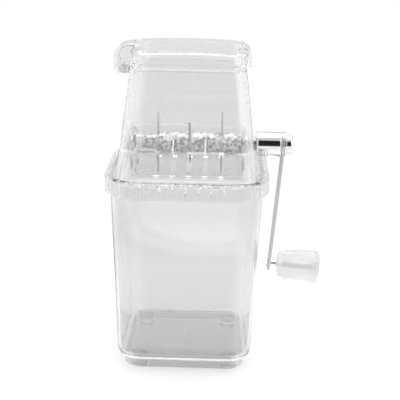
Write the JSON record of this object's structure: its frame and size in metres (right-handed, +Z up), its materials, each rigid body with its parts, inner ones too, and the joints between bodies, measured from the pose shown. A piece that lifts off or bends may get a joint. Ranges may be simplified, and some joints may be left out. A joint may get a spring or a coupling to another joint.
{
  "type": "hand-cranked ice shaver",
  "caption": "Tabletop ice shaver with a clear square bin, a clear hopper over a row of steel blades on a crank shaft, a hinged clear lid and a side crank with a clear knob.",
  "frame": {"origin": "on the table under the middle of the bin, with the crank shaft's axis straight above the X axis", "axes": "+Z up; +X along the crank shaft towards the crank; +Y away from the front"},
  "size_m": [0.1726, 0.124, 0.2577],
  "materials": {
    "clear_acrylic": "clear moulded acrylic, polished",
    "foot_rubber": "pale translucent rubber, matt",
    "bush_steel": "turned steel, polished",
    "blade_steel": "stamped stainless steel, ground points",
    "arm_steel": "satin stainless steel",
    "chrome_plate": "bright chrome plate"
  },
  "bodies": {
    "bin": {"ice_bin": "clear_acrylic", "bin_feet": "foot_rubber"},
    "upper": {"upper_housing": "clear_acrylic", "crusher_trough": "clear_acrylic", "left_bush": "bush_steel", "right_bush": "bush_steel", "bearing_nut": "chrome_plate"},
    "crank": {"crank_shaft": "arm_steel", "shaft_collar": "chrome_plate", "left_sleeve": "arm_steel", "right_sleeve": "arm_steel", "crank_drum": "chrome_plate", "crank_arm": "arm_steel", "arm_washer": "chrome_plate", "arm_nut": "chrome_plate", "knob_pin": "chrome_plate", "blade_1": "blade_steel", "blade_2": "blade_steel", "blade_3": "blade_steel", "blade_4": "blade_steel", "blade_5": "blade_steel", "spacer_1": "arm_steel", "spacer_2": "arm_steel", "spacer_3": "arm_steel", "spacer_4": "arm_steel"},
    "knob": {"crank_knob": "clear_acrylic", "knob_cap": "clear_acrylic"},
    "lid": {"lid": "clear_acrylic", "hinge_pin": "arm_steel"}
  },
  "joints": [
    {"name": "housing_lift", "type": "slide", "parent": "bin", "child": "upper", "axis": [0, 0, 1], "range_m": [0, 0.12]},
    {"name": "crank_turn", "type": "hinge", "parent": "upper", "child": "crank", "pos_m": [0, 0, 0.1768], "axis": [1, 0, 0], "continuous": true},
    {"name": "knob_turn", "type": "hinge", "parent": "crank", "child": "knob", "pos_m": [0.06787, 0, 0.07636], "axis": [0.9972, 0, -0.075], "continuous": true},
    {"name": "lid_open", "type": "hinge", "parent": "upper", "child": "lid", "pos_m": [-0.051, 0, 0.2359], "axis": [0, -1, 0], "range_deg": [0, 95]}
  ]
}
